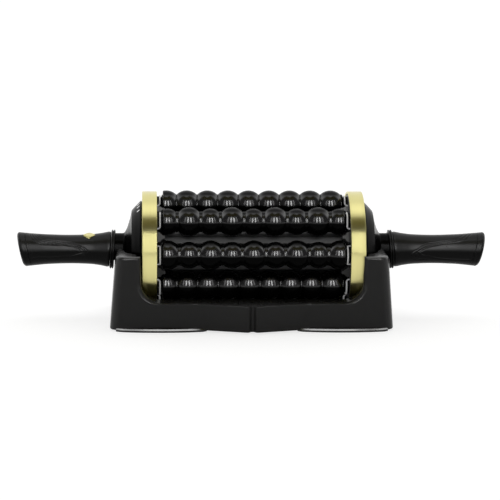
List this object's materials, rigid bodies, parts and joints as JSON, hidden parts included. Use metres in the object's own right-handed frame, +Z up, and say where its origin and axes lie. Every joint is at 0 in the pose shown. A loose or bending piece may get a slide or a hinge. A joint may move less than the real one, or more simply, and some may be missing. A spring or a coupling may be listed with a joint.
{
  "type": "electric massage roller with dock",
  "caption": "Hand-held electric massage roller with beaded rollers round a driven drum, two flared grips, a power button and a cradle dock that it lies in.",
  "frame": {"origin": "on the floor, below the middle of the roller's axis", "axes": "+X along the roller towards the grip with the charging socket, -Y the front, +Z up"},
  "size_m": [0.5056, 0.164, 0.139],
  "materials": {
    "satin_black": "satin black plastic",
    "bead_black": "smooth black plastic with a fine grain",
    "core_grey": "matt dark grey plastic",
    "grip_black": "soft satin black rubber with fine wave grooves",
    "dock_black": "satin black plastic",
    "pale_gold": "satin pale gold anodising",
    "bright_steel": "bright steel",
    "gear_steel": "machined steel",
    "gear_nylon": "off-white nylon",
    "cell_wrap": "blue shrink wrap",
    "sleeve_foam": "dark foam rubber",
    "board_green": "green circuit board",
    "light_white": "clear white lens",
    "foot_rubber": "black rubber"
  },
  "bodies": {
    "dock": {"dock_shell": "dock_black", "dock_base": "satin_black", "dock_foot_1": "foot_rubber", "dock_foot_2": "foot_rubber", "dock_foot_3": "foot_rubber", "dock_foot_4": "foot_rubber", "dock_screw_1": "bright_steel", "dock_screw_2": "bright_steel", "dock_screw_3": "bright_steel", "dock_screw_4": "bright_steel"},
    "handle": {"chassis_tube": "satin_black", "left_dome": "satin_black", "right_dome": "satin_black", "left_collar": "satin_black", "right_collar": "satin_black", "left_grip": "grip_black", "right_grip": "grip_black", "left_grip_cap": "grip_black", "right_grip_cap": "grip_black", "motor": "bright_steel", "gearbox": "gear_steel", "gearbox_mount": "gear_steel", "battery_pack": "cell_wrap", "battery_sleeve": "sleeve_foam", "control_board": "board_green", "button_board": "board_green", "charge_socket": "gear_steel", "speed_light_1": "light_white", "speed_light_2": "light_white", "speed_light_3": "light_white"},
    "drum": {"drum_core": "core_grey", "left_flange": "satin_black", "right_flange": "satin_black", "left_ring": "pale_gold", "right_ring": "pale_gold", "left_retainer": "core_grey", "right_retainer": "core_grey", "ring_gear": "gear_nylon", "left_bearing": "bright_steel", "right_bearing": "bright_steel", "roller_axle_1": "bright_steel", "roller_axle_2": "bright_steel", "roller_axle_3": "bright_steel", "roller_axle_4": "bright_steel", "roller_axle_5": "bright_steel", "roller_axle_6": "bright_steel", "roller_axle_7": "bright_steel", "roller_axle_8": "bright_steel"},
    "pinion": {"drive_pinion": "gear_steel", "output_shaft": "bright_steel"},
    "button": {"power_button": "pale_gold"},
    "roller_1_body": {"roller_1": "bead_black"},
    "roller_2_body": {"roller_2": "bead_black"},
    "roller_3_body": {"roller_3": "bead_black"},
    "roller_4_body": {"roller_4": "bead_black"},
    "roller_5_body": {"roller_5": "bead_black"},
    "roller_6_body": {"roller_6": "bead_black"},
    "roller_7_body": {"roller_7": "bead_black"},
    "roller_8_body": {"roller_8": "bead_black"}
  },
  "joints": [
    {"name": "lift_off", "type": "slide", "parent": "dock", "child": "handle", "axis": [0, 0, 1], "range_m": [0, 0.12]},
    {"name": "drum_spin", "type": "hinge", "parent": "handle", "child": "drum", "pos_m": [0, 0, 0.0755], "axis": [1, 0, 0], "continuous": true},
    {"name": "roller_1_spin", "type": "hinge", "parent": "drum", "child": "roller_1_body", "pos_m": [0, -0.04793, 0.07818], "axis": [1, 0, 0], "continuous": true},
    {"name": "roller_2_spin", "type": "hinge", "parent": "drum", "child": "roller_2_body", "pos_m": [0, -0.03199, 0.11128], "axis": [1, 0, 0], "continuous": true},
    {"name": "roller_3_spin", "type": "hinge", "parent": "drum", "child": "roller_3_body", "pos_m": [0, 0.00268, 0.12343], "axis": [1, 0, 0], "continuous": true},
    {"name": "roller_4_spin", "type": "hinge", "parent": "drum", "child": "roller_4_body", "pos_m": [0, 0.03578, 0.10749], "axis": [1, 0, 0], "continuous": true},
    {"name": "roller_5_spin", "type": "hinge", "parent": "drum", "child": "roller_5_body", "pos_m": [0, 0.04793, 0.07282], "axis": [1, 0, 0], "continuous": true},
    {"name": "roller_6_spin", "type": "hinge", "parent": "drum", "child": "roller_6_body", "pos_m": [0, 0.03199, 0.03972], "axis": [1, 0, 0], "continuous": true},
    {"name": "roller_7_spin", "type": "hinge", "parent": "drum", "child": "roller_7_body", "pos_m": [0, -0.00268, 0.02757], "axis": [1, 0, 0], "continuous": true},
    {"name": "roller_8_spin", "type": "hinge", "parent": "drum", "child": "roller_8_body", "pos_m": [0, -0.03578, 0.04351], "axis": [1, 0, 0], "continuous": true},
    {"name": "pinion_spin", "type": "hinge", "parent": "handle", "child": "pinion", "pos_m": [0, 0, 0.09175], "axis": [1, 0, 0], "continuous": true},
    {"name": "power_button_press", "type": "slide", "parent": "handle", "child": "button", "axis": [0, 0.1736, -0.9848], "range_m": [0, 0.001], "stiffness_N_per_m": 400, "springref_m": -0.0005}
  ],
  "couplings": [
    {"joint": "pinion_spin", "follows": "drum_spin", "ratio": 2.4444}
  ]
}
